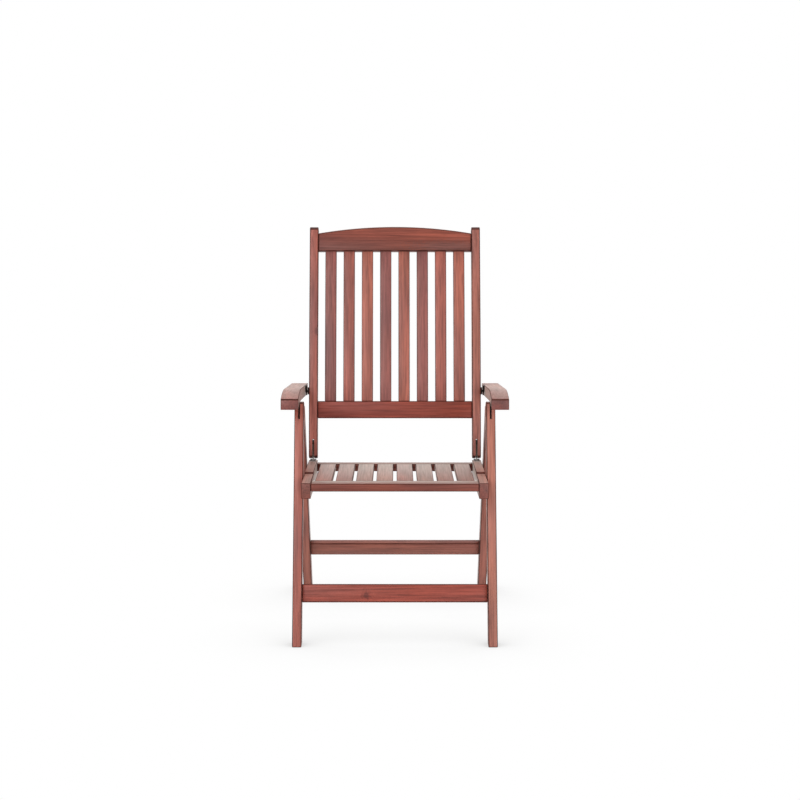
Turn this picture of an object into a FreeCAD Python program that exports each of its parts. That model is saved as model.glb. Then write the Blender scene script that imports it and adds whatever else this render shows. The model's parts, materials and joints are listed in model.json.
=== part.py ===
import FreeCAD, Part
import math
import os

import Sketcher

# High-back folding armchair in stained hardwood. The front faces -Y, +X is to the right as seen from the
# front, and the origin lies on the floor under the middle of the chair. Leg frames meet in an upside-down V
# under the arms, the slatted seat turns on the front legs, the slatted back turns on the seat, and a pin on
# each back stile runs under a notched rack on the arm.

# Driving sizes, in millimetres and degrees: alias, value, meaning
SIZES = (
    ("arm_span", "590", "width over the outer faces of the armrests"),
    ("arm_width", "46", "armrest width"),
    ("arm_thick", "30", "armrest thickness"),
    ("arm_angle", "5.2", "fall of the armrest towards the back"),
    ("arm_ahead", "102", "arm pivot to the nose of the armrest"),
    ("arm_behind", "447", "arm pivot to the rear end of the armrest"),
    ("nose_drop", "18.2", "nose of the armrest below its underside"),
    ("nose_length", "84", "length of the drooping part of the armrest's underside"),
    ("nose_fall", "20.5", "top of the nose below the top of the armrest"),
    ("fall_length", "150", "length over which the armrest's top falls to the nose"),
    ("nose_round", "3.3", "rounding under the nose"),
    ("stock", "24", "thickness of legs, seat rails and stiles"),
    ("arm_set", "9.5", "armrest's inner face outside the leg's inner face"),
    ("side_gap", "1.5", "gap between a seat rail and its leg"),
    ("front_angle", "18.7", "lean of the front legs from upright"),
    ("rear_angle", "35.8", "lean of the rear legs from upright"),
    ("leg_depth", "45", "depth of a leg, front to back"),
    ("seat_pivot_up", "428", "foot to the seat pivot, along the front leg"),
    ("arm_pivot_up", "606", "foot to the arm pivot, along the front leg"),
    ("leg_hinge_down", "6", "leg hinge below the arm pivot, along the front leg"),
    ("dome_radius", "38", "domed top of the front leg, about the arm pivot"),
    ("arm_clear", "1.5", "gap between the domed leg top and the armrest"),
    ("rear_leg_rise", "32.8", "rear leg's top above the leg hinge"),
    ("stretcher_width", "46.5", "height of a stretcher along its leg"),
    ("stretcher_thick", "16", "thickness of a stretcher"),
    ("front_stretcher_up", "140.5", "foot to the front stretcher, along the leg"),
    ("rear_stretcher_up", "186.5", "foot to the rear stretcher, along the leg"),
    ("seat_angle", "2.8", "fall of the seat towards the back"),
    ("seat_ahead", "149", "seat pivot to the front end of the seat rail"),
    ("seat_length", "455", "length of a seat rail"),
    ("rail_height", "45", "height of a seat rail"),
    ("rail_step", "5", "step down along the front of the rail's top"),
    ("step_back", "190", "front end of the rail to the step"),
    ("seat_pivot_down", "24", "seat pivot below the rail's top"),
    ("board_thick", "20", "thickness of the front and rear seat boards"),
    ("board_sink", "6.3", "seat surface below the rail's top"),
    ("front_board", "60", "depth of the front seat board"),
    ("rear_board", "42", "depth of the rear seat board"),
    ("rear_inset", "3", "rear seat board to the rail's rear end"),
    ("seat_slat_gap", "9.3", "gap between two seat slats"),
    ("seat_slat_thick", "14", "thickness of a seat slat"),
    ("stile_clear", "0.8", "stile's foot above its hinge plate"),
    ("back_pivot_behind", "7", "back pivot behind the rail's rear end"),
    ("back_angle", "9.5", "lean of the stile at the back pivot"),
    ("back_radius", "4200", "radius of the curved back"),
    ("stile_depth", "42", "depth of a stile, front to back"),
    ("stile_end", "41.4", "rounded foot of the stile, about the back pivot"),
    ("back_length", "606", "back pivot to the top of the stile"),
    ("low_rail_up", "69.7", "back pivot to the bottom rail"),
    ("low_rail_width", "47", "height of the bottom rail"),
    ("top_rail_drop", "67.4", "top rail's lower edge below the top of the stile"),
    ("top_rail_width", "48.6", "height of the top rail at its ends"),
    ("top_rail_arch", "18.5", "rise of the arched top rail"),
    ("back_rail_thick", "22", "thickness of the back's rails"),
    ("back_rail_set", "3", "back's rails ahead of the middle of the stiles"),
    ("back_slat_width", "31.4", "width of a back slat"),
    ("back_slat_thick", "12", "thickness of a back slat"),
    ("pin_dia", "6", "arm, back and recline pins"),
    ("running_clear", "0.05", "radial clearance of a turning pin"),
    ("plate_thick", "3", "hinge and rack plates"),
    ("slot_width", "5", "slot for a hinge plate"),
    ("slot_below", "12", "slot in the front leg below the arm pivot"),
    ("tongue_width", "20", "width of a hinge plate's tongue"),
    ("arm_flange_length", "44", "length of the arm plate's flange"),
    ("flange_width", "16", "width of a hinge plate's flange"),
    ("back_flange_length", "38", "length of the back plate's flange"),
    ("pin_below_top", "15", "recline pin below the top of the armrest"),
    ("recline_pin_in", "16", "recline pin inside the stile"),
    ("pin_end_gap", "0.4", "recline pin's end to the armrest"),
    ("collar_dia", "20", "collar of the recline pin"),
    ("collar_thick", "4", "thickness of the collar"),
    ("rack_clear", "0.4", "recline pin to the teeth of the rack"),
    ("rack_edge", "2", "rack plate below the top of the armrest"),
    ("rack_margin", "10", "rack plate past its first and last notch"),
    ("notch_angle", "5", "recline between two notches"),
    ("notch_rise", "3", "depth of a notch"),
    ("leaf_thick", "2", "leaf of the leg hinge"),
    ("leaf_length", "36", "length of the leaf"),
    ("leaf_width", "22", "width of the leaf"),
    ("leaf_gap", "0.4", "gap between the leaves when folded"),
    ("knuckle_dia", "7", "knuckle of the leg hinge"),
    ("knuckle_mid", "8", "middle knuckle's length"),
    ("knuckle_gap", "0.5", "gap between knuckles and around them"),
    ("leg_pin_dia", "4", "pin of the leg hinge"),
    ("mitre_gap", "0.3", "open rear leg's mitre to the front leg"),
    ("bolt_dia", "8", "seat pivot bolt"),
    ("bolt_head_dia", "16", "flush head of the seat pivot bolt"),
    ("bolt_head_thick", "4", "thickness of that head"),
    ("nut_size", "13", "nut across its corners"),
    ("nut_thick", "5", "thickness of the nut"),
    ("washer_dia", "22", "washer between leg and seat rail"),
    ("washer_thick", "1.2", "thickness of that washer"),
    ("face_gap", "0.3", "seat rail to the nut that turns past it"),
    ("rest_dia", "10", "seat rest pin"),
    ("rest_reach", "16", "seat rest pin past the rear leg"),
    ("rest_gap", "0.2", "seat rest pin to the rail above it"),
    ("screw_proud", "0.15", "screw head above the surface that it holds"),
    ("screw_dia", "3", "wood screw"),
    ("screw_length", "11", "length of a wood screw"),
    ("screw_head_dia", "6", "countersunk head of a wood screw"),
    ("screw_head_rise", "1.6", "height of that head"),
    ("screw_inset", "8", "wood screw to the edge of its plate"),
    ("long_screw_dia", "5", "stretcher screw"),
    ("long_screw_length", "55", "length of a stretcher screw"),
    ("long_head_dia", "10", "head of a stretcher screw"),
    ("long_head_rise", "3", "height of that head"),
)
SLATS = 8
NOTCHES = 5
SIDES = (("left", -1), ("right", 1))

doc = FreeCAD.newDocument("folding_armchair")
sheet = doc.addObject("Spreadsheet::Sheet", "sizes")
for row, (alias, value, meaning) in enumerate(SIZES, start=1):
    sheet.set(f"A{row}", meaning)
    sheet.set(f"B{row}", value)
    sheet.setAlias(f"B{row}", alias)
doc.recompute()


def size(alias):
    """A driving size, as a number."""
    return float(sheet.get(alias))


def axes(angle):
    """Unit vectors of a member that leans back by angle: along it, and square to it towards the back."""
    turn = math.radians(angle)
    along = (math.sin(turn), math.cos(turn))
    across = (math.cos(turn), -math.sin(turn))
    return along, across


def offset(origin, direction, distance, second=(0.0, 0.0), more=0.0):
    """A point of the side view, measured from another along one or two directions."""
    return (origin[0] + distance * direction[0] + more * second[0],
            origin[1] + distance * direction[1] + more * second[1])


def component(point, origin, direction):
    """How far a point lies from the origin along a direction."""
    return (point[0] - origin[0]) * direction[0] + (point[1] - origin[1]) * direction[1]


# Places in the side view, as (y, z) from the front edge of the front foot
front_along, front_across = axes(size("front_angle"))
rear_along, rear_across = axes(-size("rear_angle"))
seat_up, seat_back = axes(size("seat_angle"))
arm_up, arm_back = axes(size("arm_angle"))
hinge_off = size("leaf_thick") + size("leaf_gap") / 2
half_leg = size("leg_depth") / 2
seat_half = size("arm_span") / 2 - size("arm_width") - size("arm_set") - size("side_gap")

seat_pivot = offset((0, 0), front_along, size("seat_pivot_up"), front_across, half_leg)
arm_pivot = offset((0, 0), front_along, size("arm_pivot_up"), front_across, half_leg)
leg_hinge_up = size("arm_pivot_up") - size("leg_hinge_down")
leg_hinge = offset((0, 0), front_along, leg_hinge_up, front_across, size("leg_depth") + hinge_off)
rear_foot_depth = hinge_off + size("leg_depth")
rear_foot_along = -(leg_hinge[1] + rear_foot_depth * rear_across[1]) / rear_along[1]
middle = offset(leg_hinge, rear_along, rear_foot_along, rear_across, rear_foot_depth)[0] / 2


def centred(point):
    """The same point, measured from the middle of the chair's depth."""
    return (point[0] - middle, point[1])


seat_pivot = centred(seat_pivot)
arm_pivot = centred(arm_pivot)
leg_hinge = centred(leg_hinge)
front_foot = centred((0, 0))
seat_corner = offset(seat_pivot, seat_back, -size("seat_ahead"), seat_up, size("seat_pivot_down"))


def front_leg_at(up, deep):
    """A point of the front leg: up along it from its foot, and deep behind its front edge."""
    return offset(front_foot, front_along, up, front_across, deep)


def rear_leg_at(up, deep):
    """A point of the rear leg: up along it from the leg hinge, and deep behind its front face."""
    return offset(leg_hinge, rear_along, up, rear_across, hinge_off + deep)


def seat_at(back, up):
    """A point of the seat: back from the rail's front end, and up from the rail's top."""
    return offset(seat_corner, seat_back, back, seat_up, up)


def arm_at(back, up):
    """A point of the armrest: back from the arm pivot, and up from it."""
    return offset(arm_pivot, arm_back, back, arm_up, up)


back_pivot_rise = size("stile_end") + size("stile_clear") + size("plate_thick")
back_pivot = seat_at(size("seat_length") + size("back_pivot_behind"), back_pivot_rise)


def back_at(up, deep):
    """A point of the curved back: up from the back pivot along the stile's middle, and deep behind it."""
    low = math.radians(size("back_angle"))
    bend = size("back_radius")
    lean = low + up / bend
    return (back_pivot[0] + bend * (math.cos(low) - math.cos(lean)) + deep * math.cos(lean),
            back_pivot[1] + bend * (math.sin(lean) - math.sin(low)) - deep * math.sin(lean))


top_rail_up = size("back_length") - size("top_rail_drop")
arm_under = size("dome_radius") + size("arm_clear")
arm_top = arm_under + size("arm_thick")


def recline_pin_height():
    """How far up the stile the recline pin lies, so that it is beside the armrest."""
    low = 0.0
    high = size("back_length")
    while high - low > 1e-9:
        middle_up = (low + high) / 2
        if component(back_at(middle_up, 0), arm_pivot, arm_up) < arm_top - size("pin_below_top"):
            low = middle_up
        else:
            high = middle_up
    return low


recline_pin = back_at(recline_pin_height(), 0)
recline_reach = math.dist(recline_pin, back_pivot)


def arc(through, end):
    """A round stretch of an outline."""
    return ("arc", through, end)


def flat_vector(point):
    return FreeCAD.Vector(point[0], point[1], 0)


def new_body(label, x_place):
    """A body whose middle plane stands at x_place, an expression."""
    body = doc.addObject("PartDesign::Body", label)
    body.Label = label
    body.setExpression("Placement.Base.x", x_place)
    return body


def new_sketch(body, name, role="YZ_Plane", aside=0.0):
    """An empty sketch on one of the body's own planes, or beside it."""
    sketch = body.newObject("Sketcher::SketchObject", f"{body.Name}_{name}")
    plane = next(item for item in body.Origin.OriginFeatures if item.Role == role)
    sketch.AttachmentSupport = [(plane, "")]
    sketch.MapMode = "FlatFace"
    sketch.AttachmentOffset = FreeCAD.Placement(FreeCAD.Vector(0, 0, aside), FreeCAD.Rotation())
    return sketch


def draw(sketch, outline):
    """A closed outline of straight and round stretches."""
    here = outline[0]
    for step in list(outline[1:]) + [outline[0]]:
        if step[0] == "arc":
            edge = Part.Arc(flat_vector(here), flat_vector(step[1]), flat_vector(step[2]))
            here = step[2]
        elif math.dist(here, step) > 1e-6:
            edge = Part.LineSegment(flat_vector(here), flat_vector(step))
            here = step
        else:
            continue
        sketch.addGeometry(edge, False)


def feature(body, kind, name, sketch, length):
    """A pad or a pocket, as much to each side of the sketch."""
    made = body.newObject(f"PartDesign::{kind}", f"{body.Name}_{name}")
    made.Profile = sketch
    made.SideType = "Symmetric"
    made.setExpression("Length", length)
    body.Tip = made
    return made


def pad(body, name, outline, length, aside=0.0):
    sketch = new_sketch(body, f"{name}_outline", aside=aside)
    draw(sketch, outline)
    return feature(body, "Pad", name, sketch, length)


def pocket(body, name, outline, length, aside=0.0):
    sketch = new_sketch(body, f"{name}_outline", aside=aside)
    draw(sketch, outline)
    return feature(body, "Pocket", name, sketch, length)


def round_feature(body, kind, name, centre, diameter, length, aside=0.0):
    """A round pad or hole about an axis along X, its diameter bound to the sheet."""
    sketch = new_sketch(body, f"{name}_circle", aside=aside)
    index = sketch.addGeometry(Part.Circle(flat_vector(centre), FreeCAD.Vector(0, 0, 1), 1), False)
    rule = sketch.addConstraint(Sketcher.Constraint("Diameter", index, 2))
    sketch.setExpression(f"Constraints[{rule}]", diameter)
    return feature(body, kind, name, sketch, length)


def hole(body, name, centre, diameter, length="4 * sizes.stock", aside=0.0):
    return round_feature(body, "Pocket", name, centre, diameter, length, aside)


RUNNING_HOLE = "sizes.pin_dia + 2 * sizes.running_clear"
SEAT_HALF = "(sizes.arm_span / 2 - sizes.arm_width - sizes.arm_set - sizes.side_gap)"
LEG_X = f"({SEAT_HALF} + sizes.side_gap + sizes.stock / 2)"
RAIL_X = f"({SEAT_HALF} - sizes.stock / 2)"
ARM_X = "(sizes.arm_span / 2 - sizes.arm_width / 2)"
RACK_X = "(sizes.arm_span / 2 - sizes.arm_width - sizes.plate_thick / 2)"
SEAT_INSIDE = f"(2 * {SEAT_HALF} - 2 * sizes.stock)"
LEG_INSIDE = f"(2 * {SEAT_HALF} + 2 * sizes.side_gap)"
ALONG_X = FreeCAD.Rotation(FreeCAD.Vector(0, 1, 0), 90)


def rod(name, point, inner, outer, diameter, sign=1):
    """A round bar along X between two distances from the chair's middle plane."""
    bar = doc.addObject("Part::Cylinder", name)
    start = inner if sign > 0 else f"-({outer})"
    bar.setExpression("Radius", f"({diameter}) / 2")
    bar.setExpression("Height", f"({outer}) - ({inner})")
    bar.Placement = FreeCAD.Placement(FreeCAD.Vector(0, point[0], point[1]), ALONG_X)
    bar.setExpression("Placement.Base.x", start)
    return bar


def group(label, members):
    """Separate like pieces that share one name."""
    made = doc.addObject("Part::Compound", label)
    made.Label = label
    made.Links = members
    return made


def fused(label, members):
    """One piece made of several simple shapes."""
    made = doc.addObject("Part::MultiFuse", label)
    made.Label = label
    made.Shapes = members
    return made


def screw(name, point, direction, diameter, length, head_diameter, head_rise):
    """A countersunk screw whose head stands a little proud of a point and whose shank runs along a direction."""
    turn = FreeCAD.Rotation(FreeCAD.Vector(0, 0, 1), FreeCAD.Vector(*direction))
    start = FreeCAD.Vector(*point) - size("screw_proud") * FreeCAD.Vector(*direction)
    head = doc.addObject("Part::Cone", f"{name}_head")
    head.setExpression("Radius1", f"sizes.{head_diameter} / 2")
    head.setExpression("Radius2", f"sizes.{diameter} / 2")
    head.setExpression("Height", f"sizes.{head_rise}")
    head.Placement = FreeCAD.Placement(start, turn)
    shank = doc.addObject("Part::Cylinder", f"{name}_shank")
    shank.setExpression("Radius", f"sizes.{diameter} / 2")
    shank.setExpression("Height", f"sizes.{length}")
    shank.Placement = FreeCAD.Placement(start, turn)
    return fused(name, [head, shank])


def wood_screw(name, point, direction):
    return screw(name, point, direction, "screw_dia", "screw_length", "screw_head_dia", "screw_head_rise")


def long_screw(name, point, direction):
    return screw(name, point, direction, "long_screw_dia", "long_screw_length", "long_head_dia",
                 "long_head_rise")


pieces = []


def slat_place(number, width):
    """Where a slat stands, as an expression: equal gaps between the slats and at both ends."""
    return f"{number - (SLATS + 1) / 2} * ({width} + {SEAT_INSIDE}) / {SLATS + 1}"


def front_leg(side, sign):
    """A front leg: level foot, domed and slotted top, holes for the two pivots."""
    depth = size("leg_depth")
    reach = math.sqrt(size("dome_radius") ** 2 - half_leg ** 2)
    shoulder = size("arm_pivot_up") + reach
    crown = size("arm_pivot_up") + size("dome_radius")
    heel = depth * math.tan(math.radians(size("front_angle")))
    body = new_body(f"front_leg_{side}", f"{sign} * {LEG_X}")
    pad(body, "board", [front_leg_at(0, 0), front_leg_at(shoulder, 0),
                        arc(front_leg_at(crown, half_leg), front_leg_at(shoulder, depth)),
                        front_leg_at(heel, depth)], "sizes.stock")
    slot_floor = size("arm_pivot_up") - size("slot_below")
    pocket(body, "slot", [front_leg_at(slot_floor, -depth), front_leg_at(crown + depth, -depth),
                          front_leg_at(crown + depth, 2 * depth), front_leg_at(slot_floor, 2 * depth)],
           "sizes.slot_width")
    hole(body, "arm_pin_hole", arm_pivot, "sizes.pin_dia")
    hole(body, "seat_bolt_hole", seat_pivot, "sizes.bolt_dia")
    hole(body, "bolt_head_room", seat_pivot, "sizes.bolt_head_dia", "sizes.bolt_head_thick",
         aside=sign * (size("stock") - size("bolt_head_thick")) / 2)
    hole(body, "knuckle_room", leg_hinge, "sizes.knuckle_dia + 2 * sizes.knuckle_gap")
    pieces.append(body)


def rear_leg(side, sign):
    """A rear leg: level foot, and a top mitred to bear on the back of the open front leg."""
    depth = size("leg_depth")
    toe = -(leg_hinge[1] + hinge_off * rear_across[1]) / rear_along[1]
    mitre_origin = front_leg_at(0, depth + size("mitre_gap"))
    top = leg_hinge[1] + size("rear_leg_rise")

    def on_mitre(deep):
        # the point of the mitre at this depth of the rear leg
        start = rear_leg_at(0, deep)
        away = component(start, mitre_origin, front_across)
        return rear_leg_at(-away / (rear_along[0] * front_across[0] + rear_along[1] * front_across[1]), deep)

    mitre_top = offset(mitre_origin, front_along, (top - mitre_origin[1]) / front_along[1])
    back_edge = rear_leg_at(0, depth)
    back_top = offset(back_edge, rear_along, (top - back_edge[1]) / rear_along[1])
    body = new_body(f"rear_leg_{side}", f"{sign} * {LEG_X}")
    pad(body, "board", [rear_leg_at(toe, 0), on_mitre(0), mitre_top, back_top,
                        rear_leg_at(rear_foot_along, depth)], "sizes.stock")
    hole(body, "knuckle_room", leg_hinge, "sizes.knuckle_dia + 2 * sizes.knuckle_gap")
    hole(body, "rest_hole", seat_rest, "sizes.rest_dia")
    pieces.append(body)


# The seat rest pin lies in the middle of the rear leg, just under the seat rail
rest_line = seat_at(0, -size("rail_height") - size("rest_gap") - size("rest_dia") / 2)
rest_start = rear_leg_at(0, half_leg)
rest_drop = component(rest_start, rest_line, seat_up)
rest_rate = rear_along[0] * seat_up[0] + rear_along[1] * seat_up[1]
seat_rest = offset(rest_start, rear_along, -rest_drop / rest_rate)


def stretcher(label, place, up):
    """A board between two legs, in line with them and in the middle of their depth."""
    half = size("stretcher_width") / 2
    near = half_leg - size("stretcher_thick") / 2
    far = half_leg + size("stretcher_thick") / 2
    body = new_body(label, "0")
    pad(body, "board", [place(up - half, near), place(up + half, near), place(up + half, far),
                        place(up - half, far)], LEG_INSIDE)
    pieces.append(body)


def leg_leaf(label, sign, place, joins_front):
    """A leaf of the leg hinge: outer knuckles on the front leg, the middle one on the rear leg."""
    thick = size("leaf_thick")
    length = size("leaf_length")
    body = new_body(label, f"{sign} * {LEG_X}")
    pad(body, "leaf", [place(-length, 0), place(0, 0), place(0, thick), place(-length, thick)],
        "sizes.leaf_width")
    room = "sizes.knuckle_dia + 2 * sizes.knuckle_gap"
    if joins_front:
        round_feature(body, "Pad", "knuckles", leg_hinge, "sizes.knuckle_dia", "sizes.leaf_width")
        hole(body, "middle_gap", leg_hinge, room, "sizes.knuckle_mid + 2 * sizes.knuckle_gap")
        hole(body, "pin_hole", leg_hinge, "sizes.leg_pin_dia")
    else:
        hole(body, "knuckle_gaps", leg_hinge, room)
        tip = hinge_off
        pad(body, "web", [place(-size("knuckle_dia"), 0), place(0, 0), place(0, tip),
                          place(-size("knuckle_dia"), thick)], "sizes.knuckle_mid")
        round_feature(body, "Pad", "knuckle", leg_hinge, "sizes.knuckle_dia", "sizes.knuckle_mid")
        hole(body, "pin_hole", leg_hinge, "sizes.leg_pin_dia + 2 * sizes.running_clear")
    return body


def front_leaf_at(up, out):
    """A point beside the front leg's back, measured from the leg hinge."""
    return front_leg_at(leg_hinge_up + up, size("leg_depth") + out)


def rear_leaf_at(up, out):
    """A point beside the rear leg's front face, measured from the leg hinge."""
    return rear_leg_at(up, -out)


def seat_rail(side, sign):
    """A side rail of the seat, stepped down along its front part."""
    length = size("seat_length")
    low = -size("rail_height")
    body = new_body(f"seat_rail_{side}", f"{sign} * {RAIL_X}")
    pad(body, "board", [seat_at(0, low), seat_at(length, low), seat_at(length, 0),
                        seat_at(size("step_back"), 0), seat_at(size("step_back"), -size("rail_step")),
                        seat_at(0, -size("rail_step"))], "sizes.stock")
    hole(body, "bolt_hole", seat_pivot, "sizes.bolt_dia + 2 * sizes.running_clear")
    pieces.append(body)


def seat_board(label, start, depth, thick, width, x_place):
    """A board of the seat's surface: start and depth along the seat, width across it."""
    top = -size("board_sink")
    body = new_body(label, x_place)
    pad(body, "board", [seat_at(start, top), seat_at(start + depth, top), seat_at(start + depth, top - thick),
                        seat_at(start, top - thick)], width)
    pieces.append(body)


def back_strip(low, high, front, rear):
    """Outline of a piece of the curved back between two heights and two depths."""
    half = (low + high) / 2
    return [back_at(low, front), arc(back_at(half, front), back_at(high, front)),
            back_at(high, rear), arc(back_at(half, rear), back_at(low, rear))]


def stile(side, sign):
    """A side post of the back, slotted at its rounded foot for the hinge plate."""
    half = size("stile_depth") / 2
    end = size("stile_end")
    foot = -math.sqrt(end ** 2 - half ** 2)
    top = size("back_length")
    mid = (foot + top) / 2
    body = new_body(f"back_stile_{side}", f"{sign} * {RAIL_X}")
    pad(body, "board", [back_at(foot, -half), arc(back_at(mid, -half), back_at(top, -half)),
                        back_at(top, half), arc(back_at(mid, half), back_at(foot, half)),
                        arc(back_at(-end, 0), back_at(foot, -half))], "sizes.stock")
    slot_top = size("tongue_width") / 2 + size("arm_clear")
    past = 2 * end
    pocket(body, "slot", [back_at(-past, -past), back_at(slot_top, -past), back_at(slot_top, past),
                          back_at(-past, past)], "sizes.slot_width")
    hole(body, "hinge_hole", back_pivot, "sizes.pin_dia")
    hole(body, "recline_hole", recline_pin, "sizes.pin_dia")
    pieces.append(body)


def back_rail_depths():
    half = size("back_rail_thick") / 2
    return -half - size("back_rail_set"), half - size("back_rail_set")


def low_rail():
    """The straight bottom rail of the back."""
    front, rear = back_rail_depths()
    low = size("low_rail_up")
    body = new_body("back_bottom_rail", "0")
    pad(body, "board", back_strip(low, low + size("low_rail_width"), front, rear), SEAT_INSIDE)
    pieces.append(body)


def top_rail():
    """The top rail of the back, its upper edge an arch."""
    front, rear = back_rail_depths()
    low = top_rail_up
    ends = low + size("top_rail_width")
    crown = ends + size("top_rail_arch")
    body = new_body("back_top_rail", "0")
    pad(body, "board", back_strip(low, crown + size("back_rail_thick"), front, rear), SEAT_INSIDE)
    half = seat_half - size("stock")
    end_height = back_at(ends, front)[1]
    crown_height = back_at(crown, front)[1]
    above = crown_height + size("top_rail_width")
    sketch = new_sketch(body, "arch_outline", role="XZ_Plane")
    draw(sketch, [(-half, end_height), arc((0, crown_height), (half, end_height)), (half, above),
                  (-half, above)])
    feature(body, "Pocket", "arch", sketch, "8 * sizes.back_length")
    pieces.append(body)


def back_slat(number):
    """An upright slat between the back's two rails."""
    centre = -size("back_rail_set")
    half = size("back_slat_thick") / 2
    low = size("low_rail_up") + size("low_rail_width")
    body = new_body(f"back_slat_{number}", slat_place(number, "sizes.back_slat_width"))
    pad(body, "board", back_strip(low, top_rail_up, centre - half, centre + half),
        "sizes.back_slat_width")
    pieces.append(body)


def fall(end, level, length, drop):
    """Start and middle of a round stretch that leaves a level of the armrest and drops towards its nose."""
    radius = (length ** 2 + drop ** 2) / (2 * drop)
    half_turn = math.asin(length / radius) / 2
    start = end + length
    middle_down = radius * (1 - math.cos(half_turn))
    return arm_at(start, level), arm_at(start - radius * math.sin(half_turn), level - middle_down)


def armrest(side, sign):
    """An armrest: straight behind, its top and underside falling to the nose, let in for its hinge plate."""
    under = arm_under
    top = arm_top
    tip = -size("arm_ahead")
    nose_low = under - size("nose_drop")
    nose_round = size("nose_round")
    round_middle = nose_round * (1 - math.sqrt(0.5))
    top_start, top_middle = fall(tip, top, size("fall_length"), size("nose_fall"))
    bend, under_middle = fall(tip + nose_round, under, size("nose_length"), size("nose_drop"))
    body = new_body(f"armrest_{side}", f"{sign} * {ARM_X}")
    pad(body, "board", [
        arm_at(size("arm_behind"), under), arm_at(size("arm_behind"), top), top_start,
        arc(top_middle, arm_at(tip, top - size("nose_fall"))), arm_at(tip, nose_low + nose_round),
        arc(arm_at(tip + round_middle, nose_low + round_middle), arm_at(tip + nose_round, nose_low)),
        arc(under_middle, bend)], "sizes.arm_width")
    half = size("arm_flange_length") / 2
    pocket(body, "flange_recess", [arm_at(-half, nose_low), arm_at(half, nose_low),
                                   arm_at(half, under + size("plate_thick")),
                                   arm_at(-half, under + size("plate_thick"))],
           "sizes.flange_width", aside=sign * arm_flange_aside)
    pieces.append(body)


# The arm plate's flange starts at the inner face of its tongue and runs outwards, under the armrest
leg_x = seat_half + size("side_gap") + size("stock") / 2
arm_x = size("arm_span") / 2 - size("arm_width") / 2
flange_shift = (size("flange_width") - size("plate_thick")) / 2
arm_flange_aside = leg_x + flange_shift - arm_x


def arm_plate(side, sign):
    """A steel angle: the flange is let into the armrest, the tongue turns in the front leg's slot."""
    under = arm_under
    top = under + size("plate_thick")
    half = size("tongue_width") / 2
    flange = size("arm_flange_length") / 2
    body = new_body(f"arm_hinge_plate_{side}", f"{sign} * {LEG_X}")
    pad(body, "tongue", [arm_at(-half, top), arm_at(-half, 0), arc(arm_at(0, -half), arm_at(half, 0)),
                         arm_at(half, top)], "sizes.plate_thick")
    pad(body, "flange", [arm_at(-flange, under), arm_at(flange, under), arm_at(flange, top),
                         arm_at(-flange, top)], "sizes.flange_width", aside=sign * flange_shift)
    hole(body, "pin_hole", arm_pivot, RUNNING_HOLE)
    pieces.append(body)


def back_plate(side, sign):
    """A steel tee: the flange lies on the seat rail, the tongue stands in the stile's slot."""
    end = size("seat_length")
    half = size("tongue_width") / 2
    thick = size("plate_thick")
    body = new_body(f"back_hinge_plate_{side}", f"{sign} * {RAIL_X}")
    far = seat_at(end, 0)
    side_front = offset(back_pivot, seat_back, -half)
    side_rear = offset(back_pivot, seat_back, half)
    crown = offset(back_pivot, seat_up, half)
    pad(body, "tongue", [seat_at(end - 2 * half, 0), far, side_rear, arc(crown, side_front)],
        "sizes.plate_thick")
    start = end - size("back_flange_length")
    pad(body, "flange", [seat_at(start, 0), far, seat_at(end, thick), seat_at(start, thick)],
        "sizes.flange_width")
    hole(body, "pin_hole", back_pivot, RUNNING_HOLE)
    pieces.append(body)


def rack_plate(side, sign):
    """A steel rack on the armrest's inner face, its notches on an arc about the back pivot."""
    top = arm_top - size("rack_edge")
    swing = recline_reach + size("pin_dia") / 2 + size("rack_clear")
    first = math.atan2(recline_pin[1] - back_pivot[1], recline_pin[0] - back_pivot[0])
    step = math.radians(size("notch_angle"))
    margin = size("rack_margin") / swing

    def on_arc(turn, reach=swing):
        direction = (math.cos(first - turn), math.sin(first - turn))
        return offset(back_pivot, direction, reach)

    def up_to(point):
        # the point of the plate's top edge above a point of its notched edge
        return arm_at(component(point, arm_pivot, arm_back), top)

    start = -margin
    end = (NOTCHES - 1) * step + margin
    body = new_body(f"recline_rack_{side}", f"{sign} * {RACK_X}")
    pad(body, "plate", [up_to(on_arc(start)), on_arc(start), arc(on_arc((start + end) / 2), on_arc(end)),
                        up_to(on_arc(end))], "sizes.plate_thick")
    for notch in range(NOTCHES):
        centre = on_arc(notch * step, recline_reach + size("notch_rise"))
        hole(body, f"notch_{notch}", centre, "sizes.pin_dia + 2 * sizes.rack_clear")
    pieces.append(body)
    return [up_to(on_arc(start)), up_to(on_arc(end))]


def at_x(sign, distance, point):
    return (sign * distance, point[0], point[1])


# Leg frames
for side, sign in SIDES:
    front_leg(side, sign)
    rear_leg(side, sign)
stretcher("front_stretcher", front_leg_at, size("front_stretcher_up"))
stretcher("rear_stretcher", rear_leg_at, rear_foot_along + size("rear_stretcher_up"))

# Leg hinges
pieces.append(group("leg_hinge_front_leaves",
                    [leg_leaf(f"front_leaf_{side}", sign, front_leaf_at, True) for side, sign in SIDES]))
pieces.append(group("leg_hinge_rear_leaves",
                    [leg_leaf(f"rear_leaf_{side}", sign, rear_leaf_at, False) for side, sign in SIDES]))
HALF_LEAF = "sizes.leaf_width / 2"
pieces.append(group("leg_hinge_pins",
                    [rod(f"leg_pin_{side}", leg_hinge, f"{LEG_X} - {HALF_LEAF}", f"{LEG_X} + {HALF_LEAF}",
                         "sizes.leg_pin_dia", sign) for side, sign in SIDES]))

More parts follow.
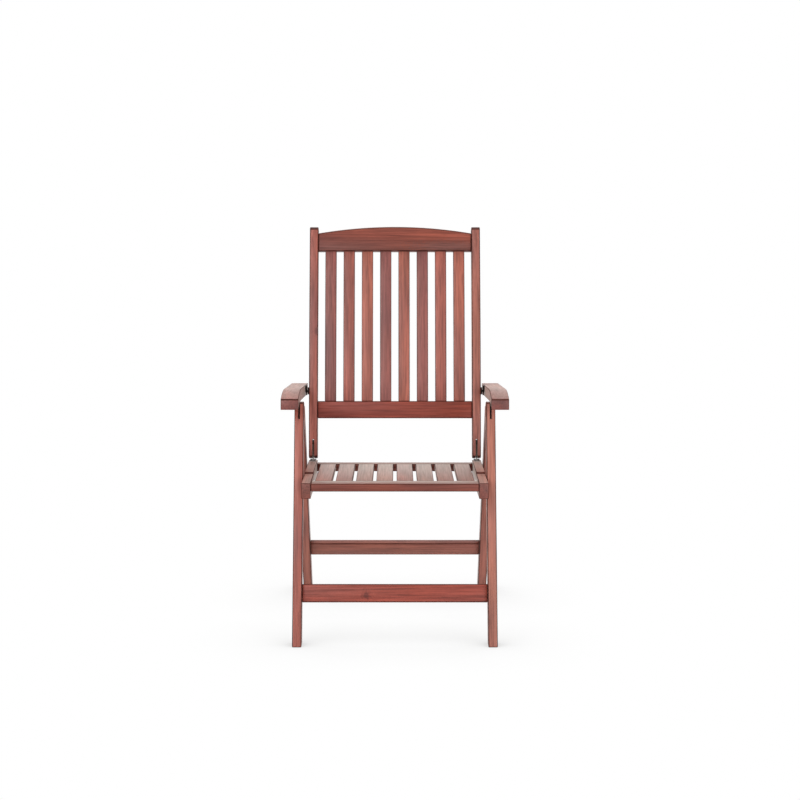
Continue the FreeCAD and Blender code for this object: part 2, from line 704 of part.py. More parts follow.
# Seat
for side, sign in SIDES:
    seat_rail(side, sign)
rear_start = size("seat_length") - size("rear_inset") - size("rear_board")
seat_board("seat_front_board", 0, size("front_board"), size("board_thick"), SEAT_INSIDE, "0")
seat_board("seat_rear_board", rear_start, size("rear_board"), size("board_thick"), SEAT_INSIDE, "0")
SEAT_SLAT_WIDTH = f"(({SEAT_INSIDE} - {SLATS + 1} * sizes.seat_slat_gap) / {SLATS})"
for number in range(1, SLATS + 1):
    seat_board(f"seat_slat_{number}", size("front_board"), rear_start - size("front_board"),
               size("seat_slat_thick"), SEAT_SLAT_WIDTH, slat_place(number, SEAT_SLAT_WIDTH))

# Back
for side, sign in SIDES:
    stile(side, sign)
low_rail()
top_rail()
for number in range(1, SLATS + 1):
    back_slat(number)

# Arms and hinge plates
rack_ends = {}
for side, sign in SIDES:
    armrest(side, sign)
    arm_plate(side, sign)
    back_plate(side, sign)
    rack_ends[side] = rack_plate(side, sign)

# Pins, bolts and washers
LEG_INNER = f"({SEAT_HALF} + sizes.side_gap)"
LEG_OUTER = f"({LEG_INNER} + sizes.stock)"
RAIL_INNER = f"({SEAT_HALF} - sizes.stock)"
RAIL_OUTER = SEAT_HALF
pieces.append(group("arm_pivot_pins", [rod(f"arm_pin_{side}", arm_pivot, LEG_INNER, LEG_OUTER,
                                           "sizes.pin_dia", sign) for side, sign in SIDES]))
pieces.append(group("back_hinge_pins", [rod(f"back_pin_{side}", back_pivot, RAIL_INNER, RAIL_OUTER,
                                            "sizes.pin_dia", sign) for side, sign in SIDES]))
for side, sign in SIDES:
    pin_end = "(sizes.arm_span / 2 - sizes.arm_width - sizes.pin_end_gap)"
    pin = rod(f"recline_shank_{side}", recline_pin, f"{RAIL_OUTER} - sizes.recline_pin_in", pin_end,
              "sizes.pin_dia", sign)
    collar = rod(f"recline_collar_{side}", recline_pin, RAIL_OUTER, f"{RAIL_OUTER} + sizes.collar_thick",
                 "sizes.collar_dia", sign)
    pieces.append(fused(f"recline_pin_{side}", [pin, collar]))
NUT_OUTER = f"({RAIL_INNER} - sizes.face_gap)"
NUT_INNER = f"({NUT_OUTER} - sizes.nut_thick)"
bolts = []
nuts = []
washers = []
for side, sign in SIDES:
    shank = rod(f"seat_bolt_shank_{side}", seat_pivot, NUT_INNER, LEG_OUTER, "sizes.bolt_dia", sign)
    head = rod(f"seat_bolt_head_{side}", seat_pivot, f"{LEG_OUTER} - sizes.bolt_head_thick", LEG_OUTER,
               "sizes.bolt_head_dia", sign)
    bolts.append(fused(f"seat_bolt_{side}", [shank, head]))
    nut = doc.addObject("Part::Prism", f"seat_nut_blank_{side}")
    nut.Polygon = 6
    nut.setExpression("Circumradius", "sizes.nut_size / 2")
    nut.setExpression("Height", "sizes.nut_thick")
    nut.Placement = FreeCAD.Placement(FreeCAD.Vector(0, *seat_pivot), ALONG_X)
    nut.setExpression("Placement.Base.x", NUT_INNER if sign > 0 else f"-{NUT_OUTER}")
    thread = rod(f"seat_nut_bore_{side}", seat_pivot, NUT_INNER, NUT_OUTER, "sizes.bolt_dia", sign)
    cut = doc.addObject("Part::Cut", f"seat_nut_{side}")
    cut.Base = nut
    cut.Tool = thread
    nuts.append(cut)
    disc = rod(f"washer_disc_{side}", seat_pivot, f"{LEG_INNER} - sizes.washer_thick", LEG_INNER,
               "sizes.washer_dia", sign)
    bore = rod(f"washer_bore_{side}", seat_pivot, f"{LEG_INNER} - sizes.washer_thick", LEG_INNER,
               "sizes.bolt_dia", sign)
    ring = doc.addObject("Part::Cut", f"washer_{side}")
    ring.Base = disc
    ring.Tool = bore
    washers.append(ring)
pieces.append(group("seat_pivot_bolts", bolts))
pieces.append(group("seat_pivot_nuts", nuts))
pieces.append(group("seat_pivot_washers", washers))
pieces.append(group("seat_rest_pins", [rod(f"rest_pin_{side}", seat_rest, f"{LEG_INNER} - sizes.rest_reach",
                                           LEG_OUTER, "sizes.rest_dia", sign) for side, sign in SIDES]))

# Screws
leg_outer = seat_half + size("side_gap") + size("stock")
arm_inner = size("arm_span") / 2 - size("arm_width")
inset = size("screw_inset")
into_front = (0, -front_across[0], -front_across[1])
into_rear = (0, rear_across[0], rear_across[1])
into_arm = (0, arm_up[0], arm_up[1])
into_seat = (0, -seat_up[0], -seat_up[1])
screws = {}


def add_screw(kind, maker, point, direction):
    made = screws.setdefault(kind, [])
    made.append(maker(f"{kind}_{len(made) + 1}", point, direction))


for side, sign in SIDES:
    for up in (-inset, -size("leaf_length") + inset):
        add_screw("front_leaf_screws", wood_screw,
                  at_x(sign, leg_x, front_leaf_at(up - inset / 2, size("leaf_thick"))), into_front)
        add_screw("rear_leaf_screws", wood_screw,
                  at_x(sign, leg_x, rear_leaf_at(up - inset / 2, size("leaf_thick"))), into_rear)
    flange_x = leg_x + flange_shift + size("plate_thick") / 2
    flange_end = size("arm_flange_length") / 2 - inset
    for back in (-flange_end, flange_end):
        add_screw(f"arm_plate_screws_{side}", wood_screw,
                  at_x(sign, flange_x, arm_at(back, arm_under)), into_arm)
    rail_x = seat_half - size("stock") / 2
    flange_middle = size("seat_length") - size("back_flange_length") + inset / 2
    aside = size("flange_width") / 4
    for shift in (-aside, aside):
        add_screw("back_plate_screws", wood_screw,
                  at_x(sign, rail_x + shift, seat_at(flange_middle, size("plate_thick"))), into_seat)
    front_end, rear_end = rack_ends[side]
    for corner, step in ((front_end, 1), (rear_end, -1)):
        place = offset(corner, arm_back, step * inset, arm_up, -inset / 2)
        add_screw(f"rack_screws_{side}", wood_screw,
                  at_x(sign, arm_inner - size("plate_thick"), place), (sign, 0, 0))
    for shift in (-size("stretcher_width") / 4, size("stretcher_width") / 4):
        front_place = front_leg_at(size("front_stretcher_up") + shift, half_leg)
        rear_place = rear_leg_at(rear_foot_along + size("rear_stretcher_up") + shift, half_leg)
        add_screw("front_stretcher_screws", long_screw, at_x(sign, leg_outer, front_place), (-sign, 0, 0))
        add_screw("rear_stretcher_screws", long_screw, at_x(sign, leg_outer, rear_place), (-sign, 0, 0))
for kind, members in screws.items():
    pieces.append(group(kind, members))

doc.recompute()
broken = [item.Label for item in doc.Objects if "Invalid" in item.State or "Error" in item.State]
if broken:
    raise RuntimeError(f"not built: {broken}")
for piece in pieces:
    if piece.Shape.isNull() or not piece.Shape.isValid() or not piece.Shape.Solids:
        raise RuntimeError(f"no sound solid: {piece.Label}")

os.makedirs("parts", exist_ok=True)
for piece in pieces:
    piece.Shape.exportStep(os.path.join("parts", f"{piece.Label}.step"))

places = {"seat_pivot": seat_pivot, "arm_pivot": arm_pivot, "leg_hinge": leg_hinge, "back_pivot": back_pivot,
          "recline_pin": recline_pin, "seat_rest": seat_rest}
for name, (y, z) in places.items():
    print(f"{name}: y {y:.3f} z {z:.3f}")
print(f"{len(pieces)} pieces")
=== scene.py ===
import json
import math

import bpy
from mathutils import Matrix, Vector


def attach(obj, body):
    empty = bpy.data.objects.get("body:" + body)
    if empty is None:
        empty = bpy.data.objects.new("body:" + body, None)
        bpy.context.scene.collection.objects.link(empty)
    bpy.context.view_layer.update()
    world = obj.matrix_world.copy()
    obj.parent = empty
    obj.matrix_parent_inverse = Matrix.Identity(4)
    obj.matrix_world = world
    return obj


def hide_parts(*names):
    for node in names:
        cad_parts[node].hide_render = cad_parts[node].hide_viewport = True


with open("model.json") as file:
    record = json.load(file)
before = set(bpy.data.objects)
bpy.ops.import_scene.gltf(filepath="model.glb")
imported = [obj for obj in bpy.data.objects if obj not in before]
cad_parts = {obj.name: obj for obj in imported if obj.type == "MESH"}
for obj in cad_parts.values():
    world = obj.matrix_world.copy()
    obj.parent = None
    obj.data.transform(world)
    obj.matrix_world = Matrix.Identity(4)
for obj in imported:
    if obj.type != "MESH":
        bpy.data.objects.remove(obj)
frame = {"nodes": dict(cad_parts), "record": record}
nodes = frame["nodes"]
node_body = {name: body for body, members in frame["record"]["behaviour"]["bodies"].items()
             for name in members}
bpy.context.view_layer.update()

METAL_WORDS = ("hinge", "pins", "pin_", "rack", "bolts", "nuts", "washers", "screws")

# Sizes of the finish, in metres and radians, and the material slot of the arrises, whose darker colour is
# painted shade along the edges
ARRIS = 0.002
FINE_ARRIS = 0.0014
ARM_ARRIS = 0.00125
ARRIS_STEPS = 3
ARRIS_SLOT = 1
STILE_CHAMFER = 0.007
NOSE_EASE = 0.003
TOUCH = 0.00005
MERGE = 0.000001
HOLE_SPAN = 0.03
FLAT = math.radians(0.5)
SOFT_EDGE = math.radians(35)
WIDTHS = {"slat": FINE_ARRIS, "seat_rail": FINE_ARRIS, "armrest": ARM_ARRIS}

# Boards with holes and slots whose rims stay sharp
BORED = ("armrest", "front_leg", "rear_leg", "seat_rail", "back_stile")

# Where eased edges stop at a let-in fitting: the axis of the cuts, then a box's corners, with x outwards
Y_AXIS = 1
Z_AXIS = 2
LEG_STOP = (Z_AXIS, (0.0, -0.13, 0.545), (1.0, -0.09, 0.5615))
ARM_STOP = (Y_AXIS, (0.0, -0.16, 0.0), (0.26, -0.103, 0.62))
STOPS = {"front_leg": LEG_STOP, "rear_leg": LEG_STOP, "armrest": ARM_STOP}

# Edges that are eased more, in the arrises' painted shade: their direction as an angle from upright towards
# +Y, width and steps
STILE_TOP = (math.radians(-27.2), STILE_CHAMFER, 1)
ARM_NOSE = (math.radians(-45), NOSE_EASE, ARRIS_STEPS)
CORNERS = {"back_stile": STILE_TOP, "armrest": ARM_NOSE}

# Direction of the grain: how far it leans back from upright, in degrees, or else along X
ALONG_X = (0.0, math.radians(90), 0.0)
LEANS = {"front_leg": 18.7, "rear_leg": -35.8, "armrest": 95.2, "seat_rail": 92.8, "seat_slat": 92.8,
         "back_stile": 13.5, "back_slat": 13.5}

# Layers of noise: stretch across and along the grain, detail, roughness and distortion
BROAD = ((30, 30, 2.4), 3.0, 0.5, 0.5)
DRIFT = ((9, 9, 4.5), 1.0, 0.5, 0.0)
FINE = ((240, 240, 7), 3.0, 0.6, 0.0)
PORES = ((900, 900, 26), 1.0, 0.5, 0.0)
WOBBLE = ((180, 180, 180), 2.0, 0.5, 0.0)
PLATING = ((420, 420, 420), 3.0, 0.6, 0.0)

# Tones: places on a ramp, each with a factor for the stain or a colour to multiply by
PLAIN = (1.0, 1.0, 1.0)
WHITE = (*PLAIN, 1.0)
BROAD_FACTORS = ((0.25, 0.66), (0.5, 1.0), (0.75, 1.36))
PLATING_FACTORS = ((0.3, 0.75), (0.7, 1.0))
DRIFT_TONES = ((0.3, (0.72, 0.74, 0.86)), (0.62, PLAIN))
STREAK_TONES = ((0.36, (0.58, 0.51, 0.49)), (0.58, (1.06, 1.06, 1.06)))
PORE_TONES = ((0.3, (0.5, 0.44, 0.44)), (0.4, PLAIN))
END_GRAIN_TONES = ((0.55, PLAIN), (0.85, (0.55, 0.46, 0.48)))
# Painted shade inside the slots of the back's hinges, from plain to dark
SLOT_SHADE_TONES = ((0.0, PLAIN), (1.0, (0.12, 0.1, 0.08)))
KNOT = ((0.2, (0.42, 0.34, 0.34)), (0.34, (0.7, 0.62, 0.6)), (0.5, (0.92, 0.88, 0.86)), (0.75, PLAIN))
HEARTWOOD = ((0.2, (0.8, 1.15, 1.45)), (0.6, PLAIN))

# How much each layer of tones counts, and the scale of the noise once stretched
FULL = 1.0
DRIFT_AMOUNT = 0.9
STREAK_AMOUNT = 0.8
PORE_AMOUNT = 0.5
SPOT_AMOUNT = 0.9
NOISE_SCALE = 1.0

# Gloss, dust and relief of the wood, with roughness between limits over the span of a noise
GLOSS = 0.35
DULL_GLOSS = 0.2
ARRIS_GLOSS = 0.05
WOOD_ROUGHNESS = (0.5, 0.36)
NOISE_SPAN = (0.3, 0.7)
NO_DUST = 0.0
DUST = 0.09
SEAT_DUST = 0.3
ARM_DUST = 0.24
DUSTS = {"seat": SEAT_DUST, "armrest": ARM_DUST}
DUST_TINT = (1.0, 0.93, 0.82, 1.0)
DUST_ROUGHNESS = 0.5
GRAIN_BUMP = 0.12
GRAIN_DEPTH = 0.0004

# Stains: the boards were cut from different planks
RED = (0.254, 0.065, 0.044)
ORANGE = (0.278, 0.076, 0.047)
PLUM = (0.212, 0.06, 0.047)
PALE = (0.297, 0.09, 0.057)
CHERRY = (0.268, 0.051, 0.031)
DEEP = (0.187, 0.046, 0.029)
TAN = (0.307, 0.103, 0.067)
UMBER = (0.225, 0.092, 0.066)
ARRIS_PAINTED_SHADE = 0.3
DULL_STAINS = (CHERRY, DEEP)
STAINED = {ORANGE: ("back_slat_3", "back_slat_5", "back_slat_8"),
           PLUM: ("back_slat_1", "back_slat_4", "back_slat_6"),
           PALE: ("back_stile_right", "seat_rail_left", "seat_rail_right", "rear_leg_left",
                  "rear_leg_right", "rear_stretcher"),
           CHERRY: ("back_bottom_rail", "front_stretcher"),
           DEEP: ("back_top_rail", "seat_front_board", "seat_rear_board", "seat_slat_7", "seat_slat_8"),
           TAN: ("front_leg_right",),
           UMBER: ("seat_slat_3", "seat_slat_4", "seat_slat_6")}
STAINS = {name: stain for stain, members in STAINED.items() for name in members}

# Spots in the wood: x, z, half the width, half the height, and the tones outwards
SPOTS = {"front_stretcher": (-0.074, 0.123, 0.012, 0.012, KNOT),
         "back_stile_left": (-0.2155, 0.76, 0.011, 0.011, KNOT),
         "back_top_rail": (0.14, 0.992, 0.1, 0.016, HEARTWOOD)}

# Steels: colours, limits of roughness, gleam at grazing angles, relief, and the heights where the painted
# shade inside the back's slots sets in
ZINC = (0.42, 0.4, 0.38)
BLACKENED = (0.03, 0.026, 0.024)
ZINC_ROUGHNESS = (0.42, 0.3)
BLACKENED_ROUGHNESS = (0.62, 0.5)
BRIGHT_EDGE = WHITE
DARK_EDGE = (0.05, 0.05, 0.05, 1.0)
PLATING_BUMP = 0.1
PLATING_DEPTH = 0.00005
SLOT_SHADE_HEIGHTS = (0.4105, 0.4165)

# Numbers that shift the noise from board to board, and which cut of its plank a board is
SEEDS = 997
SEED_STEPS = ((13, 3.7), (29, 2.1), (7, 1.3))
CUTS = {"front_leg_right": 11, "rear_leg_left": 5, "rear_leg_right": 9, "rear_stretcher": 3,
        "back_stile_left": 3, "back_top_rail": 6, "back_bottom_rail": 3, "back_slat_2": 8,
        "back_slat_3": 10, "back_slat_5": 11, "back_slat_6": 6, "back_slat_8": 3,
        "seat_slat_2": 8, "seat_slat_4": 1, "seat_slat_5": 8}


def is_metal(name):
    return any(word in name for word in METAL_WORDS)


def pick(table, name, otherwise=None):
    """The first value in a table whose key is part of a name."""
    return next((value for word, value in table.items() if word in name), otherwise)


def number_of(name):
    """A small whole number that differs from piece to piece."""
    return sum((place + 1) * ord(letter) for place, letter in enumerate(name)) % SEEDS


# Materials

def new_material(name):
    material = bpy.data.materials.new(name)
    material.use_nodes = True
    tree = material.node_tree
    return material, tree, tree.nodes["Principled BSDF"]


def give(node, values):
    """Sets a node's inputs by their names."""
    for socket, value in values.items():
        node.inputs[socket].default_value = value


def link(tree, source, output, target, socket):
    tree.links.new(source.outputs[output], target.inputs[socket])


def scaled(colour, factor):
    return tuple(factor * value for value in colour)


def shades(colour, factors):
    """Stops of a ramp through lighter and darker shades of a colour."""
    return [(place, scaled(colour, factor)) for place, factor in factors]


def ramp(tree, source, output, stops):
    """A colour ramp through (place, colour) stops, driven by a node's output."""
    made = tree.nodes.new("ShaderNodeValToRGB")
    band = made.color_ramp
    while len(band.elements) > 1:
        band.elements.remove(band.elements[-1])
    for index, (place, colour) in enumerate(stops):
        stop = band.elements[0] if index == 0 else band.elements.new(place)
        stop.position = place
        stop.color = (*colour, 1.0)
    link(tree, source, output, made, "Fac")
    return made.outputs["Color"]


def multiply(tree, amount, first, second):
    """One colour output multiplied by another, by an amount."""
    made = tree.nodes.new("ShaderNodeMix")
    made.data_type = "RGBA"
    made.blend_type = "MULTIPLY"
    made.inputs["Factor"].default_value = amount
    tree.links.new(first, made.inputs["A"])
    tree.links.new(second, made.inputs["B"])
    return made.outputs["Result"]


def combined(tree, operation, first, first_output, second, second_output):
    """A node that combines two values by an operation."""
    made = tree.nodes.new("ShaderNodeMath")
    made.operation = operation
    link(tree, first, first_output, made, 0)
    link(tree, second, second_output, made, 1)
    return made


def part_of(tree, source, output):
    """A node that takes a vector apart."""
    made = tree.nodes.new("ShaderNodeSeparateXYZ")
    link(tree, source, output, made, "Vector")
    return made


def mapping(tree, source, output, turn=(0, 0, 0), place=(0, 0, 0), stretch=(1, 1, 1)):
    made = tree.nodes.new("ShaderNodeMapping")
    give(made, {"Rotation": turn, "Location": place, "Scale": stretch})
    link(tree, source, output, made, "Vector")
    return made


def noise(tree, source, output, layer, place=(0, 0, 0)):
    """One layer of noise, shifted by a place."""
    stretch, detail, roughness, distortion = layer
    made = tree.nodes.new("ShaderNodeTexNoise")
    give(made, {"Scale": NOISE_SCALE, "Detail": detail, "Roughness": roughness, "Distortion": distortion})
    link(tree, mapping(tree, source, output, place=place, stretch=stretch), "Vector", made, "Vector")
    return made


def spot_tone(tree, where, spot):
    """The tone of a spot in the wood, with a wavy rim."""
    x, z, across, upright, tones = spot
    flat = mapping(tree, where, "Object", place=(-x / across, 0, -z / upright),
                   stretch=(1 / across, 0, 1 / upright))
    away = tree.nodes.new("ShaderNodeVectorMath")
    away.operation = "LENGTH"
    link(tree, flat, "Vector", away, "Vector")
    wavy = combined(tree, "MULTIPLY", away, "Value", noise(tree, where, "Object", WOBBLE), "Fac")
    return ramp(tree, wavy, "Value", tones)


def spread(tree, unevenness, limits):
    """A value that a noise spreads between two limits."""
    made = tree.nodes.new("ShaderNodeMapRange")
    give(made, {"From Min": NOISE_SPAN[0], "From Max": NOISE_SPAN[1],
                "To Min": limits[0], "To Max": limits[1]})
    link(tree, unevenness, "Fac", made, "Value")
    return made


def ripple(tree, unevenness, strength, depth, shader):
    """Raises a surface a little by a noise."""
    bump = tree.nodes.new("ShaderNodeBump")
    give(bump, {"Strength": strength, "Distance": depth})
    link(tree, unevenness, "Fac", bump, "Height")
    link(tree, bump, "Normal", shader, "Normal")


def end_grain_tone(tree, where, turn):
    """Darker where the surface cuts across the grain, which takes up more stain."""
    facing = part_of(tree, mapping(tree, where, "Normal", turn=turn), "Vector")
    across = tree.nodes.new("ShaderNodeMath")
    across.operation = "ABSOLUTE"
    link(tree, facing, "Z", across, 0)
    return ramp(tree, across, "Value", END_GRAIN_TONES)


def wood(name, turn, stain, cut=0, spot=None, dust=DUST, gloss=GLOSS):
    """Stained hardwood whose grain runs along Z once turned."""
    material, tree, shader = new_material(name)
    seed = number_of(name) + cut
    place = tuple(seed % count * step for count, step in SEED_STEPS)
    where = tree.nodes.new("ShaderNodeTexCoord")
    turned = mapping(tree, where, "Object", turn=turn)
    broad = noise(tree, turned, "Vector", BROAD, place)
    drift = noise(tree, turned, "Vector", DRIFT, place)
    fine = noise(tree, turned, "Vector", FINE, place)
    pores = noise(tree, turned, "Vector", PORES, place)
    colour = ramp(tree, broad, "Fac", shades(stain, BROAD_FACTORS))
    colour = multiply(tree, DRIFT_AMOUNT, colour, ramp(tree, drift, "Fac", DRIFT_TONES))
    colour = multiply(tree, STREAK_AMOUNT, colour, ramp(tree, fine, "Fac", STREAK_TONES))
    colour = multiply(tree, PORE_AMOUNT, colour, ramp(tree, pores, "Fac", PORE_TONES))
    if spot:
        colour = multiply(tree, SPOT_AMOUNT, colour, spot_tone(tree, where, spot))
    colour = multiply(tree, FULL, colour, end_grain_tone(tree, where, turn))
    tree.links.new(colour, shader.inputs["Base Color"])
    link(tree, spread(tree, fine, WOOD_ROUGHNESS), "Result", shader, "Roughness")
    give(shader, {"Specular IOR Level": gloss, "Sheen Weight": dust, "Sheen Tint": DUST_TINT,
                  "Sheen Roughness": DUST_ROUGHNESS})
    ripple(tree, fine, GRAIN_BUMP, GRAIN_DEPTH, shader)
    return material


def slot_shade_tone(tree, where, heights):
    """Painted shade inside a slot: plain below the first height, darkening up to full shade at the second.
    """
    rise = tree.nodes.new("ShaderNodeMapRange")
    give(rise, {"From Min": heights[0], "From Max": heights[1]})
    link(tree, part_of(tree, where, "Object"), "Z", rise, "Value")
    return ramp(tree, rise, "Result", SLOT_SHADE_TONES)


def steel(name, colour, roughness, edge, shade_heights=None):
    """Dull plated steel with a fine uneven sheen."""
    material, tree, shader = new_material(name)
    where = tree.nodes.new("ShaderNodeTexCoord")
    plating = noise(tree, where, "Object", PLATING)
    tone = ramp(tree, plating, "Fac", shades(colour, PLATING_FACTORS))
    if shade_heights:
        # Darker above a height: painted shade where the plate sits inside a slot
        tone = multiply(tree, FULL, tone, slot_shade_tone(tree, where, shade_heights))
    tree.links.new(tone, shader.inputs["Base Color"])
    link(tree, spread(tree, plating, roughness), "Result", shader, "Roughness")
    give(shader, {"Metallic": FULL, "Specular Tint": edge})
    ripple(tree, plating, PLATING_BUMP, PLATING_DEPTH, shader)
    return material


def board_material(name):
    lean = pick(LEANS, name)
    turn = ALONG_X if lean is None else (math.radians(lean), 0.0, 0.0)
    stain = STAINS.get(name, RED)
    gloss = DULL_GLOSS if stain in DULL_STAINS else GLOSS
    return wood(f"wood_{name}", turn, stain, cut=CUTS.get(name, 0), spot=SPOTS.get(name),
                dust=pick(DUSTS, name, DUST), gloss=gloss)


# Arrises: the stain darkened as painted shade lines along every edge, with no dust and little gloss
arris = wood("wood_arris", ALONG_X, scaled(RED, ARRIS_PAINTED_SHADE), dust=NO_DUST, gloss=ARRIS_GLOSS)
dark_steel = steel("dark_steel", BLACKENED, BLACKENED_ROUGHNESS, DARK_EDGE)
bright_steel = steel("bright_steel", ZINC, ZINC_ROUGHNESS, BRIGHT_EDGE)
# The back's hinge plates get painted shade where they stand inside the stiles' slots
slot_steel = steel("slot_steel", ZINC, ZINC_ROUGHNESS, BRIGHT_EDGE, SLOT_SHADE_HEIGHTS)
STEELS = {"back_hinge": slot_steel, "leg_hinge": bright_steel, "seat_pivot": bright_steel,
          "stretcher_screws": bright_steel}


# Pieces: each board is remade with eased arrises, darkened with painted shade

def ease_corner(piece, angle, width, steps):
    """Bevels the edge across a board that lies furthest out, at an angle from upright towards +Y."""
    bpy.ops.object.mode_set(mode="OBJECT")
    mesh = piece.data
    reach = [point.co.y * math.sin(angle) + point.co.z * math.cos(angle) for point in mesh.vertices]
    limit = max(reach) - TOUCH
    for edge in mesh.edges:
        edge.select = all(reach[end] > limit for end in edge.vertices)
    bpy.ops.object.mode_set(mode="EDIT")
    bpy.ops.mesh.bevel(offset=width, offset_type="OFFSET", segments=steps, clamp_overlap=True,
                       material=ARRIS_SLOT)
    bpy.ops.mesh.select_all(action="DESELECT")


def cut_at(stop):
    """Cuts a board's faces where its eased edges stop."""
    axis, *corners = stop
    normal = [float(place == axis) for place in range(3)]
    for corner in corners:
        bpy.ops.mesh.select_all(action="SELECT")
        bpy.ops.mesh.bisect(plane_co=corner, plane_no=normal)


def within(place, stop):
    """Whether a point lies in a stop's box, on either side of the chair."""
    low, high = stop[1:]
    outwards = (abs(place.x), place.y, place.z)
    return all(least - TOUCH < value < most + TOUCH for value, least, most in zip(outwards, low, high))


def rings_of(edges, count):
    """Groups of edges that hang together, among a number of vertices."""
    leader = list(range(count))

    def lead(index):
        while leader[index] != index:
            index = leader[index]
        return index

    for edge in edges:
        first, last = edge.vertices
        leader[lead(first)] = lead(last)
    rings = {}
    for edge in edges:
        rings.setdefault(lead(edge.vertices[0]), []).append(edge)
    return rings.values()


def keep_outer(piece, stop):
    """Leaves only a board's outer edges selected, not the rims of its holes and slots."""
    bpy.ops.object.mode_set(mode="OBJECT")
    mesh = piece.data
    places = [point.co for point in mesh.vertices]
    sides = (min(place.x for place in places), max(place.x for place in places))
    at_side = [any(abs(place.x - side) < TOUCH for side in sides) for place in places]
    stopped = [stop is not None and within(place, stop) for place in places]

    def is_outer(edge):
        first, last = edge.vertices
        along_side = at_side[first] and at_side[last]
        across = math.dist(places[first].yz, places[last].yz) < TOUCH
        outer = along_side or across and (at_side[first] or at_side[last])
        return outer and not (stopped[first] and stopped[last])

    outer_edges = [edge for edge in mesh.edges if edge.select and is_outer(edge)]
    for items in (mesh.vertices, mesh.edges, mesh.polygons):
        for item in items:
            item.select = False
    for ring in rings_of(outer_edges, len(places)):
        heights = [places[end].z for edge in ring for end in edge.vertices]
        if max(heights) - min(heights) > HOLE_SPAN:
            for edge in ring:
                edge.select = True
                for end in edge.vertices:
                    mesh.vertices[end].select = True
    bpy.ops.object.mode_set(mode="EDIT")


def merged_copy(name):
    """A copy of a board with its materials, open for editing, its mesh merged and its flat faces joined."""
    bpy.ops.object.select_all(action="DESELECT")
    piece = bpy.data.objects.new(f"eased_{name}", nodes[name].data.copy())
    bpy.context.collection.objects.link(piece)
    piece.data.materials.clear()
    piece.data.materials.append(board_material(name))
    piece.data.materials.append(arris)
    bpy.context.view_layer.objects.active = piece
    piece.select_set(True)
    bpy.ops.object.mode_set(mode="EDIT")
    bpy.ops.mesh.select_all(action="SELECT")
    bpy.ops.mesh.remove_doubles(threshold=MERGE)
    bpy.ops.mesh.dissolve_limited(angle_limit=FLAT)
    return piece


def eased(name):
    """A board with its sharp edges rounded over."""
    piece = merged_copy(name)
    stop = pick(STOPS, name)
    if stop:
        cut_at(stop)
    bpy.ops.mesh.select_all(action="DESELECT")
    bpy.ops.mesh.select_mode(type="EDGE")
    corner = pick(CORNERS, name)
    if corner:
        ease_corner(piece, *corner)
    bpy.ops.mesh.edges_select_sharp(sharpness=SOFT_EDGE)
    bored = name.startswith(BORED)
    if bored:
        keep_outer(piece, stop)
    # The bevels take the arris material: painted shade along the edges
    bpy.ops.mesh.bevel(offset=pick(WIDTHS, name, ARRIS), offset_type="OFFSET", segments=ARRIS_STEPS,
                       clamp_overlap=not bored, loop_slide=False, material=ARRIS_SLOT)
    bpy.ops.object.mode_set(mode="OBJECT")
    bpy.ops.object.shade_smooth_by_angle(angle=SOFT_EDGE)
    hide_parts(name)
    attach(piece, node_body[name])


for name in sorted(nodes):
    if is_metal(name):
        nodes[name].data.materials.clear()
        nodes[name].data.materials.append(pick(STEELS, name, dark_steel))
    else:
        eased(name)


# Studio: pale floor, white wherever it is seen, soft light

FLOOR_GREY = (0.9, 0.9, 0.9, 1.0)
FLOOR_ROUGHNESS = 0.9
FLOOR_SIZE = 12.0
SHADOW_REACH = 0.3
SHADOW_TONES = ((0.0, (0.45, 0.44, 0.43)), (0.97, PLAIN))
GLOW = 0.45
LAMP_WIDTH = 2.4


def white_in_view(tree, shader, output, white, white_output, target):
    """White where the camera, a reflection or a see-through ray meets it, otherwise the other shader."""
    rays = tree.nodes.new("ShaderNodeLightPath")
    indirect = combined(tree, "MAXIMUM", rays, "Is Glossy Ray", rays, "Is Transmission Ray")
    seen = combined(tree, "MAXIMUM", rays, "Is Camera Ray", indirect, "Value")
    choose = tree.nodes.new("ShaderNodeMixShader")
    link(tree, seen, "Value", choose, "Fac")
    link(tree, shader, output, choose, 1)
    link(tree, white, white_output, choose, 2)
    link(tree, choose, "Shader", target, "Surface")


def shadowed_white(tree):
    """White that keeps a soft shadow near what stands on it."""
    shelter = tree.nodes.new("ShaderNodeAmbientOcclusion")
    shelter.inputs["Distance"].default_value = SHADOW_REACH
    made = tree.nodes.new("ShaderNodeEmission")
    tree.links.new(ramp(tree, shelter, "AO", SHADOW_TONES), made.inputs["Color"])
    return made


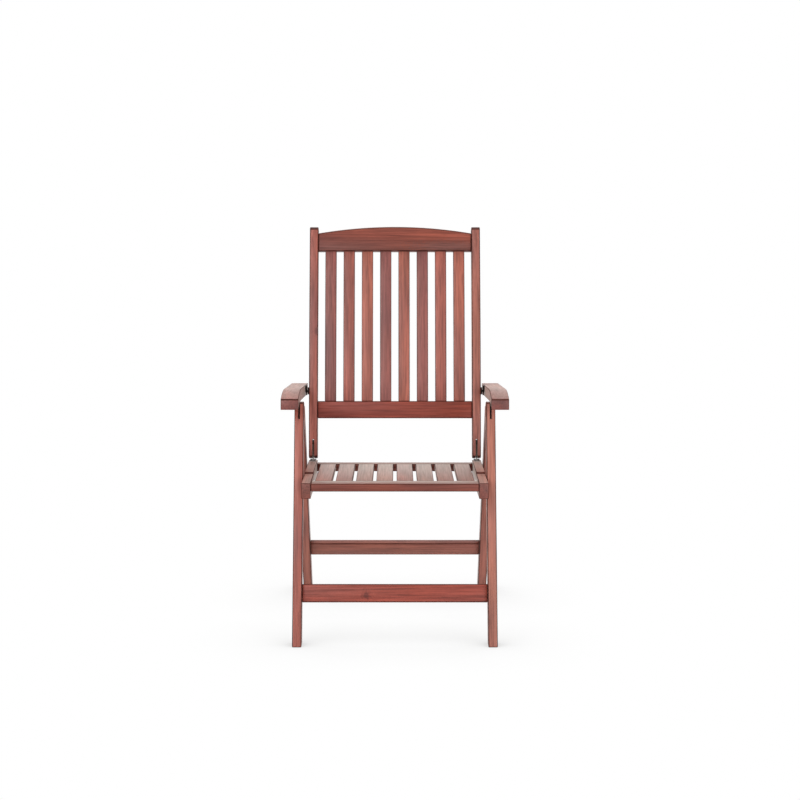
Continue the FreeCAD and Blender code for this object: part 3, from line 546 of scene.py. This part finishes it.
bpy.ops.mesh.primitive_plane_add(size=FLOOR_SIZE, location=(0, 0, 0))
floor = bpy.context.object
floor.name = "studio_floor"
floor_material, floor_tree, floor_shader = new_material("studio_floor")
give(floor_shader, {"Base Color": FLOOR_GREY, "Roughness": FLOOR_ROUGHNESS})
white_in_view(floor_tree, floor_shader, "BSDF", shadowed_white(floor_tree), "Emission",
              floor_tree.nodes["Material Output"])
floor.data.materials.append(floor_material)

world = bpy.data.worlds.new("studio")
bpy.context.scene.world = world
world.use_nodes = True
world_tree = world.node_tree
glow = world_tree.nodes["Background"]
give(glow, {"Color": WHITE, "Strength": GLOW})
white = world_tree.nodes.new("ShaderNodeBackground")
give(white, {"Color": WHITE, "Strength": FULL})
white_in_view(world_tree, glow, "Background", white, "Background", world_tree.nodes["World Output"])


def soft_light(name, place, target, power):
    light = bpy.data.lights.new(name, "AREA")
    light.shape = "SQUARE"
    light.size = LAMP_WIDTH
    light.energy = power
    lamp = bpy.data.objects.new(name, light)
    bpy.context.collection.objects.link(lamp)
    lamp.location = place
    lamp.rotation_euler = (Vector(target) - Vector(place)).to_track_quat("-Z", "Y").to_euler()
    lamp.visible_camera = False


soft_light("key_light", place=(-1.8, -4.2, 2.4), target=(0, 0, 0.5), power=130.0)
soft_light("fill_light", place=(2.4, -3.8, 1.2), target=(0, 0, 0.4), power=90.0)
soft_light("top_light", place=(0.0, 0.6, 3.4), target=(0, 0, 0.4), power=60.0)

# Camera at the photograph's angle, in metres and millimetres
CAMERA_PLACE = (0.0, -5.1471, 1.3064)
CAMERA_TILT = math.radians(83.0)
CAMERA_SENSOR = 36.0
CAMERA_LENS = 86.59
CAMERA_SHIFT = (0.006375, -0.03825)
camera_data = bpy.data.cameras.new("photo_camera")
camera_data.sensor_width = CAMERA_SENSOR
camera_data.lens = CAMERA_LENS
camera_data.shift_x, camera_data.shift_y = CAMERA_SHIFT
camera = bpy.data.objects.new("photo_camera", camera_data)
bpy.context.collection.objects.link(camera)
camera.location = CAMERA_PLACE
camera.rotation_euler = (CAMERA_TILT, 0.0, 0.0)
bpy.context.scene.camera = camera
bpy.context.scene.view_settings.view_transform = "Standard"
